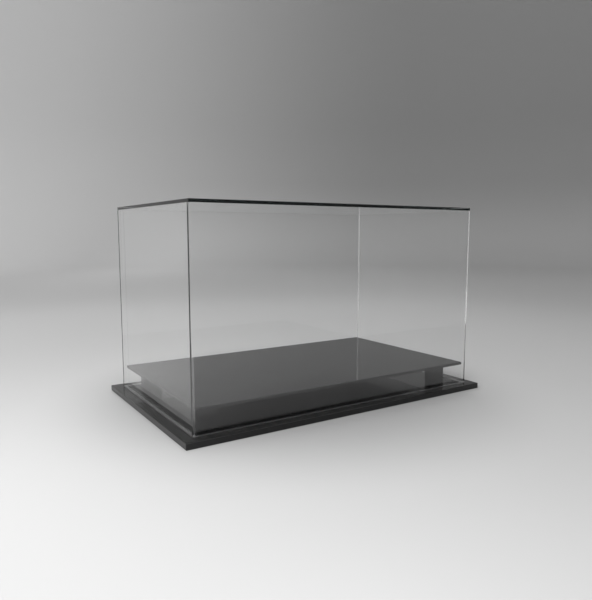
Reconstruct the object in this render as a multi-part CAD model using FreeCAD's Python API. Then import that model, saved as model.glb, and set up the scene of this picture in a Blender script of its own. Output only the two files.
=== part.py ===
import FreeCAD, Part
import os

# Football display case: a clear cover that lifts off a black base, with a raised shelf under it.
# Millimetres, +Z up. The origin is on the surface the case stands on, under the middle of the base.
# X runs along the long side, the front faces -Y, and the case is the same left and right, front
# and back.

# ---- Driving dimensions ----

# The cover, a box of clear sheet with no bottom.
cover_length = 337.0  # outside, along X
cover_depth = 199.0  # outside, along Y
cover_height = 200.0  # from the feet of its walls to the top of its lid
cover_sheet = 3.0  # thickness of the clear sheet
cement_film = 0.05  # solvent cement in each of the cover's seams
seat_gap = 0.1  # air under the walls' feet, because cut sheet never stands dead flat

# The base, one thick black plate that the cover stands on.
base_thickness = 6.0
base_margin = 10.8  # how far the base stands out past the cover, all round

# The raised shelf. It also keeps the cover in place, so it fits close inside the walls.
shelf_thickness = 3.0
shelf_clearance = 0.5  # between the shelf and the inside of each wall

# The four blocks that carry the shelf, one near each of its corners.
block_length = 20.0  # along X
block_depth = 10.0  # along Y
block_height = 21.0
block_end_inset = 10.0  # from the shelf's short edge to the block
block_side_inset = 18.0  # from the shelf's long edge to the block

# The narrow flat that polishing leaves along a cut edge.
black_arris = 0.3
clear_arris = 0.2

# ---- Sizes that follow from those ----

base_length = cover_length + 2 * base_margin
base_depth = cover_depth + 2 * base_margin
shelf_length = cover_length - 2 * (cover_sheet + shelf_clearance)
shelf_depth = cover_depth - 2 * (cover_sheet + shelf_clearance)
shelf_bottom = base_thickness + block_height
cover_bottom = base_thickness + seat_gap
wall_height = cover_height - cover_sheet - cement_film
wall_top = cover_bottom + wall_height
block_x = shelf_length / 2 - block_end_inset - block_length / 2
block_y = shelf_depth / 2 - block_side_inset - block_depth / 2

ON_FACE = 0.001  # how near an edge's middle lies to the faces that meet in it
LEFT, RIGHT, FRONT, BACK, UNDER, UPPER = "-X", "+X", "-Y", "+Y", "-Z", "+Z"


# ---- Making one piece ----


def cut_sheet(size, middle, bottom):
    """A square-edged piece of sheet: its size along X, Y and Z, the X and Y of its middle, and
    the height of its underside."""
    corner = FreeCAD.Vector(middle[0] - size[0] / 2, middle[1] - size[1] / 2, bottom)
    return Part.makeBox(size[0], size[1], size[2], corner)


def faces_meeting(edge, around):
    """The outside faces that meet in an edge of a square-edged piece, such as {"-X", "+Z"}."""
    middle = edge.CenterOfMass
    away = {
        LEFT: middle.x - around.XMin,
        RIGHT: around.XMax - middle.x,
        FRONT: middle.y - around.YMin,
        BACK: around.YMax - middle.y,
        UNDER: middle.z - around.ZMin,
        UPPER: around.ZMax - middle.z,
    }
    return {face for face, distance in away.items() if distance < ON_FACE}


def polished(piece, arris, seams=()):
    """The piece with a narrow arris along each edge where two open faces meet. An edge of a face
    that is cemented to a neighbour, named in seams, stays square, so that the seam is tight."""
    around = piece.BoundBox
    open_edges = [e for e in piece.Edges if not faces_meeting(e, around) & set(seams)]
    return piece.makeChamfer(arris, open_edges)


# ---- The base and what is cemented to it ----


def base_plate():
    """The plate that everything stands on."""
    plate = cut_sheet((base_length, base_depth, base_thickness), (0, 0), 0)
    return polished(plate, black_arris)


def display_shelf():
    """The raised plate that carries what is on show."""
    plate = cut_sheet((shelf_length, shelf_depth, shelf_thickness), (0, 0), shelf_bottom)
    return polished(plate, black_arris)


def shelf_block(toward_x, toward_y):
    """One block between the base and the shelf. Each of its directions is -1 or 1."""
    middle = (toward_x * block_x, toward_y * block_y)
    block = cut_sheet((block_length, block_depth, block_height), middle, base_thickness)
    return polished(block, black_arris, seams=(UNDER, UPPER))


# ---- The cover's five panels ----


def cover_top():
    """The lid, as long and as deep as the whole cover. It lies on the four walls."""
    lid = cut_sheet((cover_length, cover_depth, cover_sheet), (0, 0), wall_top + cement_film)
    return polished(lid, clear_arris, seams=(UNDER,))


def long_wall(toward_y, inner_face):
    """A long wall. It runs the cover's full length, so its cut ends show at left and right."""
    middle = (0, toward_y * (cover_depth - cover_sheet) / 2)
    wall = cut_sheet((cover_length, cover_sheet, wall_height), middle, cover_bottom)
    return polished(wall, clear_arris, seams=(inner_face, UPPER))


def end_wall(toward_x):
    """A short wall. It stands between the two long walls, flush with their cut ends."""
    between_walls = cover_depth - 2 * (cover_sheet + cement_film)
    middle = (toward_x * (cover_length - cover_sheet) / 2, 0)
    wall = cut_sheet((cover_sheet, between_walls, wall_height), middle, cover_bottom)
    return polished(wall, clear_arris, seams=(FRONT, BACK, UPPER))


# ---- The whole case ----

pieces = {
    "base_plate": base_plate(),
    "display_shelf": display_shelf(),
    "cover_top": cover_top(),
    "cover_front": long_wall(-1, inner_face=BACK),
    "cover_back": long_wall(1, inner_face=FRONT),
    "cover_left": end_wall(-1),
    "cover_right": end_wall(1),
}
for depth_name, toward_y in (("front", -1), ("back", 1)):
    for end_name, toward_x in (("left", -1), ("right", 1)):
        pieces[f"shelf_block_{depth_name}_{end_name}"] = shelf_block(toward_x, toward_y)

os.makedirs("parts", exist_ok=True)
for name, piece in pieces.items():
    piece.exportStep(f"parts/{name}.step")
    around = piece.BoundBox
    size = f"{around.XLength:.2f} x {around.YLength:.2f} x {around.ZLength:.2f}"
    print(f"{name}: {size} mm, {piece.Volume / 1000:.1f} cm3, z {around.ZMin:.2f} to {around.ZMax:.2f}")
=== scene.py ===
# %% [markdown]
# # A football display case
#
# The real thing is cut from sheet: five panels of clear acrylic make a cover with no bottom, and
# black acrylic makes the base, the raised shelf and the four little blocks between them. The cover
# stands on the base and lifts straight off.
#
# Flat sheet is simple in shape, so the looks are all in the finish: what black acrylic mirrors,
# how clear acrylic bends light, how it gathers light in its cut edges, and what fingers, cloths
# and saws leave on both. This lesson loads the case, gives each finish its own material, builds a
# small studio around it, and points the camera.

# %% Load the case
import math

import bpy
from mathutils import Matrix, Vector


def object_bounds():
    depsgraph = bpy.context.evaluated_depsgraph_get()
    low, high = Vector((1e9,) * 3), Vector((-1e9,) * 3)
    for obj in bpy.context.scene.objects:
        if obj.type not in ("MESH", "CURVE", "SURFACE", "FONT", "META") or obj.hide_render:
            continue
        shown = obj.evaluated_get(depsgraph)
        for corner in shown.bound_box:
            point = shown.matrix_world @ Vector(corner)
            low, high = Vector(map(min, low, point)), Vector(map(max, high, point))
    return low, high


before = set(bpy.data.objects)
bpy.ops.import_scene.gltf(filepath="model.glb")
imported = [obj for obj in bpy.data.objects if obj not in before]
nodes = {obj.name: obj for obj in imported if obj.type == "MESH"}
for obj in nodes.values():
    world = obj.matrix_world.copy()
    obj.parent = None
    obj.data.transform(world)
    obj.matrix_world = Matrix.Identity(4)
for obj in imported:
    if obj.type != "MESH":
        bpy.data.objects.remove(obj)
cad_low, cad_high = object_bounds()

middle = (Vector(cad_low) + Vector(cad_high)) / 2
print("pieces:", ", ".join(sorted(nodes)))
print("size in metres:", [round(high - low, 4) for low, high in zip(cad_low, cad_high)])

# %% [markdown]
# ## A short way to write materials
#
# A material is a small network of nodes. Wiring it by hand takes three or four lines for each sum,
# which hides the idea. `Signal` stands for whatever comes out of a node, and it knows the signs
# + - and *, so a sum is written as a sum and adds its own Math nodes. `Finish` is one material, and
# its one method `node` adds any other node: its settings first, then what goes into it.

# %% Signal and Finish
class Signal:
    """What comes out of one socket of a node, for use in sums."""

    def __init__(self, finish, socket):
        self.finish = finish
        self.socket = socket

    def sum_node(self, operation, first, second):
        """One Math node, for a sum of two signals or of a signal and a number."""
        return self.finish.node("Math", {"operation": operation}, {0: first, 1: second})

    def __add__(self, other):
        return self.sum_node("ADD", self, other)

    def __radd__(self, other):
        return self.sum_node("ADD", other, self)

    def __rsub__(self, other):
        return self.sum_node("SUBTRACT", other, self)

    def __mul__(self, other):
        return self.sum_node("MULTIPLY", self, other)

    def __rmul__(self, other):
        return self.sum_node("MULTIPLY", other, self)

    def __abs__(self):
        return self.finish.node("Math", {"operation": "ABSOLUTE"}, {0: self})

    def above(self, level):
        """1 where the signal is over a level, 0 elsewhere."""
        return self.sum_node("GREATER_THAN", self, level)


class Finish:
    """One material, and the ways to add nodes to it."""

    def __init__(self, name):
        self.material = bpy.data.materials.new(name)
        self.material.use_nodes = True
        self.tree = self.material.node_tree
        self.tree.nodes.clear()

    def node(self, kind, settings=None, inputs=None, output=0):
        """Adds a node of a kind, with its settings and inputs, and gives one of its outputs."""
        made = self.tree.nodes.new("ShaderNode" + kind)
        for name, value in (settings or {}).items():
            setattr(made, name, value)
        for name, value in (inputs or {}).items():
            if isinstance(value, Signal):
                self.tree.links.new(value.socket, made.inputs[name])
            else:
                made.inputs[name].default_value = value
        return Signal(self, made.outputs[output])

    def surface(self, shader, volume=None):
        """Sends a shader, and if asked a volume, to the material's output."""
        ends = {"Surface": shader}
        if volume:
            ends["Volume"] = volume
        end = self.tree.nodes.new("ShaderNodeOutputMaterial")
        for name, signal in ends.items():
            self.tree.links.new(signal.socket, end.inputs[name])
        return self.material


# One sum, made only to see what it adds, and thrown away again
trial = Finish("trial")
1 - trial.node("Value") * 0.5
print("the sum 1 - value * 0.5 took", len(trial.tree.nodes), "nodes")
bpy.data.materials.remove(trial.material)

# %% [markdown]
# ## Where on a sheet are we?
#
# The same sheet has two kinds of face. Its broad faces were cast against glass and are as smooth
# as glass. Its edges were sawn and then polished, so fine lines run along them. Each finish has to
# know which of the two it is on. The normal tells: on a broad face it points along the sheet's
# thin direction.

# %% Places on a sheet
ALONG = {"x": (1.0, 0.0, 0.0), "y": (0.0, 1.0, 0.0), "z": (0.0, 0.0, 1.0)}
EDGE_FACING = 0.9  # a normal nearer the thin direction than this belongs to a broad face


def place_in(finish):
    """Where on the piece we are, in metres."""
    return finish.node("TexCoord", output="Object")


def reach(finish, arrow, direction):
    """How far an arrow, such as a place or a normal, reaches along a direction."""
    return finish.node("VectorMath", {"operation": "DOT_PRODUCT"}, {0: arrow, 1: direction}, "Value")


def facing(finish, axis):
    """How squarely the surface faces along x, y or z, from -1 to 1."""
    return reach(finish, finish.node("TexCoord", output="Normal"), ALONG[axis])


def cut_edge_mask(finish, thin):
    """1 on the sheet's cut edges and arrises, 0 on its broad faces."""
    return 1 - abs(facing(finish, thin)).above(EDGE_FACING)


widest_turn = round(math.degrees(math.acos(EDGE_FACING)))
print("a broad face points within", widest_turn, "degrees of the thin direction")

# %% [markdown]
# ## Noise, ramps and mixes
#
# The marks on a sheet have no outline that could be drawn. They are clouds of noise, stretched
# into streaks and cut off softly where they are faint. Then they are mixed into the clean colour,
# the roughness, or the height of the surface.

# %% Noise, ramps and mixes
SHARE, FIRST, SECOND, MIXED = 0, 6, 7, 2  # the Mix node's sockets for colours, by their place


def stretched(finish, place, scales):
    """Place, stretched by a factor along each axis, so that spots turn into lines."""
    return finish.node("VectorMath", {"operation": "MULTIPLY"}, {0: place, 1: scales})


def noise(finish, place, scale, detail):
    """Soft cloudy noise from about 0.25 to 0.75, with that many lumps to the metre."""
    return finish.node("TexNoise", None, {"Vector": place, "Scale": scale, "Detail": detail})


def ramp(finish, signal, low, high):
    """0 where signal is under low, 1 where it is over high, and smooth between."""
    settings = {"interpolation_type": "SMOOTHSTEP"}
    return finish.node("MapRange", settings, {"Value": signal, "From Min": low, "From Max": high})


def mixed_colour(finish, share, first, second):
    """The first colour where share is 0, the second where it is 1, and a mix between."""
    inputs = {SHARE: share, FIRST: first, SECOND: second}
    return finish.node("Mix", {"data_type": "RGBA"}, inputs, MIXED)


def swelling(finish, height):
    """The normal of a surface that swells by this height, in metres."""
    return finish.node("Bump", None, {"Strength": 1.0, "Distance": 1.0, "Height": height})


print("helpers: stretched, noise, ramp, mixed_colour, swelling")

# %% [markdown]
# ## Polishing lines along the cut edges
#
# A saw leaves lines that run along the edge, and polishing only softens them. So the noise is
# stretched: slow along the sheet, quick across its few millimetres of thickness.

# %% Polishing lines
LINES_ALONG = 14.0  # lumps to the metre along an edge
LINES_ACROSS = 2600.0  # and across it


def polishing_lines(finish, place, thin):
    """Fine lines along the cut edges, from 0 to 1."""
    scales = [LINES_ACROSS if axis == thin else LINES_ALONG for axis in "xyz"]
    return noise(finish, stretched(finish, place, scales), 1.0, detail=1.0)


print(f"lines {1000 / LINES_ACROSS:.1f} mm wide and {1000 / LINES_ALONG:.0f} mm long")

# %% [markdown]
# ## Dust
#
# The cover keeps all but a few specks of dust off what is under it. The margin outside it gets a
# thin film, which makes it a touch paler than the rest. Specks could be little meshes, but they are
# under a millimetre across, so each is a dot at the middle of a cell of a flat cell pattern.

# %% Dust
SPECKS_TO_A_METRE = 45.0
SPECK_CORE = 0.008  # where a speck starts to fade, as a share of the space between specks
SPECK_RIM = 0.018  # and where it ends
DUST_FILM = 0.04  # how much of the dust's colour the thin parts of the film show
DUST_PATCHES = 0.02  # and how much more its thick patches show
PATCH_LUMPS = 60.0  # to the metre
PATCH_RANGE = (0.3, 0.7)  # noise under the first is thin film, noise over the second is thick
COVER_HALF_LENGTH = max(corner[0] for corner in nodes["cover_top"].bound_box)
COVER_HALF_DEPTH = max(corner[1] for corner in nodes["cover_top"].bound_box)


def dust_specks(finish, place):
    """1 on a few specks scattered over a level sheet, 0 between them."""
    scatter = {"feature": "F1", "voronoi_dimensions": "2D"}
    inputs = {"Vector": place, "Scale": SPECKS_TO_A_METRE}
    from_speck = finish.node("TexVoronoi", scatter, inputs, "Distance")
    return 1 - ramp(finish, from_speck, SPECK_CORE, SPECK_RIM)


def dust_film(finish, place):
    """How much dust lies on the margin, outside the cover. None lies under it."""
    past_ends = abs(reach(finish, place, ALONG["x"])).above(COVER_HALF_LENGTH)
    past_sides = abs(reach(finish, place, ALONG["y"])).above(COVER_HALF_DEPTH)
    under_cover = (1 - past_ends) * (1 - past_sides)
    patches = ramp(finish, noise(finish, place, PATCH_LUMPS, detail=5.0), *PATCH_RANGE)
    return (1 - under_cover) * (DUST_FILM + DUST_PATCHES * patches)


print(f"a speck about every {1000 / SPECKS_TO_A_METRE:.0f} mm")
print(f"film outside {2 * COVER_HALF_LENGTH:.3f} by {2 * COVER_HALF_DEPTH:.3f} m")

# %% [markdown]
# ## Black acrylic
#
# The base, the shelf and the blocks are black right through and polished like a piano. Almost all
# that shows is what they mirror, so colour matters little and roughness matters most. A mirror
# that is perfect looks false: on the real sheet a cloth leaves faint streaks, a few specks of
# dust lie on it, and the cast face is a very little wavy, so that long reflections swim.

# %% Black acrylic
CLEAN_BLACK = (0.0035, 0.0035, 0.0037, 1.0)
DUST_GREY = (0.3, 0.3, 0.295, 1.0)
STREAK_LUMPS = (9.0, 26.0, 9.0)  # to the metre along x, y and z, so that streaks run along x
STREAK_RANGE = (0.45, 0.8)  # noise under the first leaves none, noise over the second the most
STREAK_DUST = 0.03  # how much of the dust's colour a streak shows
POLISHED = 0.035  # the roughness of clean black sheet
ROUGHER = {"streak": 0.05, "edge line": 0.1, "speck": 0.3}  # what each mark adds to it
BLACK_WAVES = 16.0  # to the metre
BLACK_SWELL = 0.00001  # metres, for the waves of the face and the lines of the edge
ACRYLIC_INDEX = 1.49


def black_acrylic(thin):
    """Black sheet whose thin direction is x, y or z."""
    finish = Finish(f"black_acrylic_{thin}")
    place = place_in(finish)
    edge = cut_edge_mask(finish, thin)
    face = 1 - edge
    lines = polishing_lines(finish, place, thin)
    wiped = noise(finish, stretched(finish, place, STREAK_LUMPS), 1.0, detail=4.0)
    streaks = ramp(finish, wiped, *STREAK_RANGE)
    specks = dust_specks(finish, place)

    dust = (specks + dust_film(finish, place) + STREAK_DUST * streaks) * face
    roughness = POLISHED + ROUGHER["streak"] * streaks
    roughness = roughness + ROUGHER["edge line"] * edge * lines + ROUGHER["speck"] * specks * face
    waves = noise(finish, place, BLACK_WAVES, detail=1.0)
    shader = {
        "Base Color": mixed_colour(finish, dust, CLEAN_BLACK, DUST_GREY),
        "Roughness": roughness,
        "Normal": swelling(finish, BLACK_SWELL * (waves * face + lines * edge)),
        "IOR": ACRYLIC_INDEX,
    }
    return finish.surface(finish.node("BsdfPrincipled", None, shader))


BLACK_PIECES = ["base_plate", "display_shelf"] + sorted(n for n in nodes if n.startswith("shelf_block"))
black_sheet = black_acrylic("z")
for name in BLACK_PIECES:
    nodes[name].material_slots[0].material = black_sheet
print("black acrylic on", ", ".join(BLACK_PIECES))

# %% [markdown]
# ## Two kinds of clear sheet
#
# Clear acrylic lets light through and bends it, with an index of 1.49. Each face mirrors a little,
# and far more at a slant. Each sheet also swallows a trace of light, too little to see through
# 3 mm, but clear to see along the sheet, and that is why a cut edge looks dark. So the swallowing
# is a volume inside the piece and not a colour on it.
#
# The lid and the long walls bend light. Their cut edges are in the open, and bent light running
# inside them is what makes those edges dark. The end walls stand between the long walls with
# cement over their cut ends, and bent light would run along them for their whole depth and make
# the corners glow. There are two ways to stop that: darker sheet, which would grey the whole
# panel, or sheet that doesn't bend light and gets its mirror from a coat with the same index. The
# second keeps the panel clear.

# %% Two kinds of clear sheet
BENDING = {"IOR": ACRYLIC_INDEX}
STRAIGHT = {"IOR": 1.0, "Coat Weight": 1.0, "Coat IOR": ACRYLIC_INDEX, "Coat Roughness": 0.01}
HOW_IT_BENDS = {"x": STRAIGHT, "y": BENDING, "z": BENDING}
SMOKE = (0.78, 0.8, 0.8, 1.0)  # the colour of light that has gone a long way inside a sheet
SMOKE_DENSITY = {"x": 7.0, "y": 30.0, "z": 90.0}  # the higher, the darker a sheet's cut edges
print("sheets that bend light:", [thin for thin, way in HOW_IT_BENDS.items() if way is BENDING])

# %% [markdown]
# ## The foot of the walls
#
# The foot of each wall is left as the saw cut it, matt and pale, and shows as a fine light line
# just above the base. The line could be a thin strip of its own, but nothing is there on the real
# wall, only light from the foot inside the sheet. So the line is painted light: the matt look is
# mixed a little into the lowest part of the faces.

# %% The foot of the walls
FOOT_HEIGHT = min(corner[2] for corner in nodes["cover_left"].bound_box)
PAINTED_GLOW_FADES = FOOT_HEIGHT + 0.0003  # metres up, where the painted light line starts to fade
PAINTED_GLOW_ENDS = FOOT_HEIGHT + 0.0009  # and where it is gone
PAINTED_GLOW_SHARE = {"x": 0.1, "y": 0.025, "z": 0.0}  # how much of the foot's matt look is painted on its faces as a light line
FOOT_SAWN = 0.9  # and how much on the foot itself
FACING_DOWN = 0.5  # a normal that points down by more than this belongs to the foot
# the look of the real sawn foot, also used for the painted light line on the faces
SAWN_AND_GLOW_LOOK = {"Base Color": (0.9, 0.9, 0.9, 1.0), "Roughness": 0.9, "Specular IOR Level": 0.0}


def foot_and_painted_glow_mask(finish, place, edge, thin):
    """How much of the sawn look shows: nearly all on the real foot, and a little just above it as a
    painted light line.
    """
    foot = edge * (-1 * facing(finish, "z")).above(FACING_DOWN)
    height = reach(finish, place, ALONG["z"])
    # the line on the lowest part of the faces is painted light
    line = 1 - ramp(finish, height, PAINTED_GLOW_FADES, PAINTED_GLOW_ENDS)
    return foot * FOOT_SAWN + line * PAINTED_GLOW_SHARE[thin]


print(f"the foot is {FOOT_HEIGHT * 1000:.1f} mm above the table")

# %% [markdown]
# ## Clear acrylic
#
# What is left is what hands do to clear sheet. Wiping leaves faint level smears, the cast face
# is a very little wavy, and the polished edge keeps the saw's lines. All three are fainter than on
# the black sheet, because here they spoil what is seen through them.

# %% Clear acrylic
SMEAR_LUMPS = (7.0, 7.0, 19.0)  # to the metre along x, y and z, so that smears lie level
SMEAR_RANGE = (0.5, 0.85)  # noise under the first leaves none, noise over the second the most
SMEAR_ROUGHNESS = 0.02
LINE_ROUGHNESS = 0.06
CLEAR_WAVES = 12.0  # to the metre
WAVE_SWELL = 0.000001  # metres
LINE_SWELL = 0.000004


def clear_acrylic(thin):
    """Clear sheet whose thin direction is x, y or z."""
    finish = Finish(f"clear_acrylic_{thin}")
    place = place_in(finish)
    edge = cut_edge_mask(finish, thin)
    face = 1 - edge
    lines = polishing_lines(finish, place, thin)
    wiped = noise(finish, stretched(finish, place, SMEAR_LUMPS), 1.0, detail=4.0)
    smears = ramp(finish, wiped, *SMEAR_RANGE)
    waves = noise(finish, place, CLEAR_WAVES, detail=1.0)
    shader = {
        "Base Color": (1.0, 1.0, 1.0, 1.0),
        "Roughness": SMEAR_ROUGHNESS * smears * face + LINE_ROUGHNESS * edge * lines,
        "Normal": swelling(finish, WAVE_SWELL * waves * face + LINE_SWELL * lines * edge),
        "Transmission Weight": 1.0,
        **HOW_IT_BENDS[thin],
    }
    clear = finish.node("BsdfPrincipled", None, shader)
    sawn_and_glow = finish.node("BsdfPrincipled", None, SAWN_AND_GLOW_LOOK)
    # the sawn look is real on the foot; on the faces just above it, it is a painted light line
    both = finish.node("MixShader", None, {0: foot_and_painted_glow_mask(finish, place, edge, thin), 1: clear, 2: sawn_and_glow})
    smoke = finish.node("VolumeAbsorption", None, {"Color": SMOKE, "Density": SMOKE_DENSITY[thin]})
    return finish.surface(both, smoke)


CLEAR_PIECES = {
    "cover_top": "z",
    "cover_left": "x",
    "cover_right": "x",
    "cover_front": "y",
    "cover_back": "y",
}
clear_sheets = {thin: clear_acrylic(thin) for thin in ALONG}
for name, thin in CLEAR_PIECES.items():
    nodes[name].material_slots[0].material = clear_sheets[thin]
    nodes[name].visible_shadow = False
print("clear acrylic on", ", ".join(CLEAR_PIECES))

# %% [markdown]
# ## The studio
#
# Gloss shows nothing but its surroundings, so the studio matters as much as the case. A pale round
# floor turns up into a wall far away, with no corner to catch the eye. Blender's Screw modifier
# could sweep the profile. A short loop is as quick to write, and shows how faces join rings.

# %% Floor and wall
FLOOR_REACH = 2.6  # metres from the middle to where the floor starts to turn up
BEND = 0.9  # radius of the turn
WALL_HEIGHT = 3.2
FLOOR_RINGS = (0.5, 1.0)  # radii where the floor is divided, so that no face is very long
STEPS_ROUND = 96
STEPS_BEND = 16


def studio_profile():
    """Points from the middle of the floor out, round the bend and up the wall: radius, height."""
    points = [(radius, 0.0) for radius in (0.0, *FLOOR_RINGS, FLOOR_REACH)]
    for step in range(1, STEPS_BEND + 1):
        turn = math.pi / 2 * step / STEPS_BEND
        points.append((FLOOR_REACH + BEND * math.sin(turn), BEND * (1 - math.cos(turn))))
    points.append((FLOOR_REACH + BEND, WALL_HEIGHT))
    return points


def studio_bowl():
    """The profile, swept once round the case."""
    profile = studio_profile()
    verts = [(0.0, 0.0, 0.0)]
    for radius, height in profile[1:]:
        for step in range(STEPS_ROUND):
            turn = 2 * math.pi * step / STEPS_ROUND
            verts.append((radius * math.cos(turn), radius * math.sin(turn), height))
    faces = [(0, 1 + s, 1 + (s + 1) % STEPS_ROUND) for s in range(STEPS_ROUND)]
    for ring in range(len(profile) - 2):
        inner = 1 + ring * STEPS_ROUND
        outer = inner + STEPS_ROUND
        for s in range(STEPS_ROUND):
            t = (s + 1) % STEPS_ROUND
            faces.append((inner + s, outer + s, outer + t, inner + t))
    mesh = bpy.data.meshes.new("studio")
    mesh.from_pydata(verts, [], faces)
    for face in mesh.polygons:
        face.use_smooth = True
    bowl = bpy.data.objects.new("studio", mesh)
    bpy.context.scene.collection.objects.link(bowl)
    return bowl


studio = studio_bowl()
print("studio of", len(studio.data.polygons), "faces, radius", FLOOR_REACH + BEND, "m")

# %% [markdown]
# ## Pale paper
#
# Lamps alone shade such a bowl too strongly near them and too little far away. Many small lamps
# would even that out, but each adds its own shadow. So light and shade are painted into the paper
# itself. Close round the case it has a painted shadow, for the shade that a full case would throw.
# Then come three zones going out, each painted from a lit side to a dim side. A painted darker
# patch lies right under the key light, where white paper would burn out, and a painted pool of
# light lies low on the wall.

# %% Pale paper
# How much of the light the paper sends back, from 0 to 1, with painted light and shade in it
GREYS = {
    "painted case shadow": 0.31,
    "near, lit side": 0.485,
    "near, dim side": 0.445,
    "middle, lit side": 0.64,
    "middle, dim side": 0.48,
    "far, lit side": 0.95,
    "far, dim side": 0.37,
    "painted shade under the key light": 0.2,
}
# Metres out from the middle, where one zone gives way to the next
PAINTED_SHADOW_TO_NEAR = (0.11, 0.285)
NEAR_TO_MIDDLE = (0.3, 0.9)
MIDDLE_TO_FAR = (1.0, 2.4)
# Metres toward the dim side, where each zone goes from its lit grey to its dim one
LIT_TO_DIM = {"near": (-0.3, 0.35), "middle": (-0.8, 0.8), "far": (-2.6, 0.9)}
DIM_BEARING = math.radians(-33.0)  # from the x axis, round to the front
DIM_TOWARD = (math.cos(DIM_BEARING), math.sin(DIM_BEARING), 0.0)
POOL_EDGE = (-1.2, -0.6)  # metres toward the dim side, where the pool of light comes in
POOL_HEIGHT = (0.1, 0.55)  # metres up, where it goes out again
POOL_GAIN = 0.28  # how much lighter it is than the paper round it
KEY_FOOT = (-0.75, -0.45, 0.0)  # the floor under the key light
KEY_PATCH = (0.1, 0.6)  # metres from there, where the painted dark patch goes out


def grey(name):
    """One of the named greys as a colour."""
    return (GREYS[name],) * 3 + (1.0,)


def zone(finish, name, across):
    """One zone of the paper, from its lit side to its dim side."""
    dimness = ramp(finish, across, *LIT_TO_DIM[name])
    return mixed_colour(finish, dimness, grey(name + ", lit side"), grey(name + ", dim side"))


def pale_paper():
    """Paper in three zones, with a painted shadow round the case, a painted pool of light on the wall
    and a painted dark patch under the lamp.
    """
    finish = Finish("pale_paper")
    place = place_in(finish)
    across = reach(finish, place, DIM_TOWARD)
    on_plan = stretched(finish, place, (1.0, 1.0, 0.0))
    away = finish.node("VectorMath", {"operation": "LENGTH"}, {0: on_plan}, "Value")
    near, mid, far = (zone(finish, name, across) for name in LIT_TO_DIM)

    height = reach(finish, place, ALONG["z"])
    # a painted pool of light, low on the wall
    pool = ramp(finish, across, *POOL_EDGE) * (1 - ramp(finish, height, *POOL_HEIGHT))
    far = finish.node("VectorMath", {"operation": "SCALE"}, {0: far, "Scale": 1 + POOL_GAIN * pool})
    # the painted shadow round the case
    colour = mixed_colour(finish, ramp(finish, away, *PAINTED_SHADOW_TO_NEAR), grey("painted case shadow"), near)
    colour = mixed_colour(finish, ramp(finish, away, *NEAR_TO_MIDDLE), colour, mid)
    colour = mixed_colour(finish, ramp(finish, away, *MIDDLE_TO_FAR), colour, far)

    apart = {"operation": "DISTANCE"}
    # the painted dark patch under the key light
    from_key = finish.node("VectorMath", apart, {0: place, 1: KEY_FOOT}, "Value")
    patch = ramp(finish, from_key, *KEY_PATCH)
    colour = mixed_colour(finish, patch, grey("painted shade under the key light"), colour)
    shader = {"Base Color": colour, "Roughness": 0.9, "Specular IOR Level": 0.1}
    return finish.surface(finish.node("BsdfPrincipled", None, shader))


studio.data.materials.append(pale_paper())
print("pale paper in", len(GREYS), "greys")

# %% [markdown]
# ## Light
#
# One large soft box, the key light, hangs over the near left side, so the floor is palest there
# and darkens away from it. A weak one behind the case gives the back edges a little light. A dim
# even light from all round fills the shadows.
#
# A panel this flat would mirror a lamp as a hard white shape. In a studio a screen is put in the
# way. Here both lamps are simply left out of what gloss and clear sheet show, so that they light
# the case and are not seen in it.
#
# Light inside a sheet turns back from face to face many times before it gets out of a cut edge,
# so it is followed for far more bounces than usual. The Standard view shows the greys as they were
# worked out, where a filmic one would soften them.

# %% Lights
ROOM_LIGHT = 0.79  # strength of the even light from all round
BACK_SPREAD = math.radians(60.0)  # a grid over the lamp keeps its light this narrow


def soft_box(name, place, aim, size, watts):
    """A rectangular lamp at a place, in metres, that shines toward an aim."""
    light = bpy.data.lights.new(name, "AREA")
    light.shape = "RECTANGLE"
    light.size, light.size_y = size
    light.energy = watts
    lamp = bpy.data.objects.new(name, light)
    bpy.context.scene.collection.objects.link(lamp)
    lamp.location = place
    lamp.rotation_euler = (Vector(aim) - Vector(place)).to_track_quat("-Z", "Y").to_euler()
    lamp.visible_transmission = False
    lamp.visible_glossy = False
    return lamp


key = soft_box("key", place=(-0.78, -0.5, 0.6), aim=(-0.4, -0.25, 0.0), size=(0.6, 0.6), watts=13.5)
back = soft_box("back", place=(0.5, 1.3, 1.3), aim=(-0.15, -0.4, 0.0), size=(1.0, 0.7), watts=1.6)
back.data.spread = BACK_SPREAD

world = bpy.data.worlds.new("room_light")
world.use_nodes = True
world.node_tree.nodes["Background"].inputs["Color"].default_value = (1.0, 1.0, 1.0, 1.0)
world.node_tree.nodes["Background"].inputs["Strength"].default_value = ROOM_LIGHT
bpy.context.scene.world = world
bpy.context.scene.view_settings.view_transform = "Standard"
cycles = bpy.context.scene.cycles
cycles.max_bounces = 64
cycles.glossy_bounces = 48
cycles.transmission_bounces = 32
print("key light", key.data.energy, "W, back light", round(back.data.energy, 1), "W")

# %% [markdown]
# ## Camera
#
# The camera looks at the middle of the case, from the left of its front and just above it, and
# from close by, so the long side runs away from it strongly. A place on a ball round the middle is
# easier to adjust than three coordinates: a turn, a rise and a distance.

# %% Camera
CAMERA_TURN = math.radians(33.0)  # to the left of straight in front
CAMERA_RISE = math.radians(6.6)
CAMERA_AWAY = 0.651  # metres from the middle of the case
LENS = 34.6  # millimetres, on a sensor as wide as a film frame
SENSOR_WIDTH = 36.0  # millimetres

camera_data = bpy.data.cameras.new("camera")
camera_data.lens = LENS
camera_data.sensor_width = SENSOR_WIDTH
camera = bpy.data.objects.new("camera", camera_data)
bpy.context.scene.collection.objects.link(camera)
flat = math.cos(CAMERA_RISE)
direction = Vector((-math.sin(CAMERA_TURN) * flat, -math.cos(CAMERA_TURN) * flat, math.sin(CAMERA_RISE)))
camera.location = middle + direction * CAMERA_AWAY
camera.rotation_euler = (-direction).to_track_quat("-Z", "Y").to_euler()
bpy.context.scene.camera = camera
print("camera at", [round(v, 3) for v in camera.location])

# %% [markdown]
# ## The end

# %% Finish
print("the scene is built")
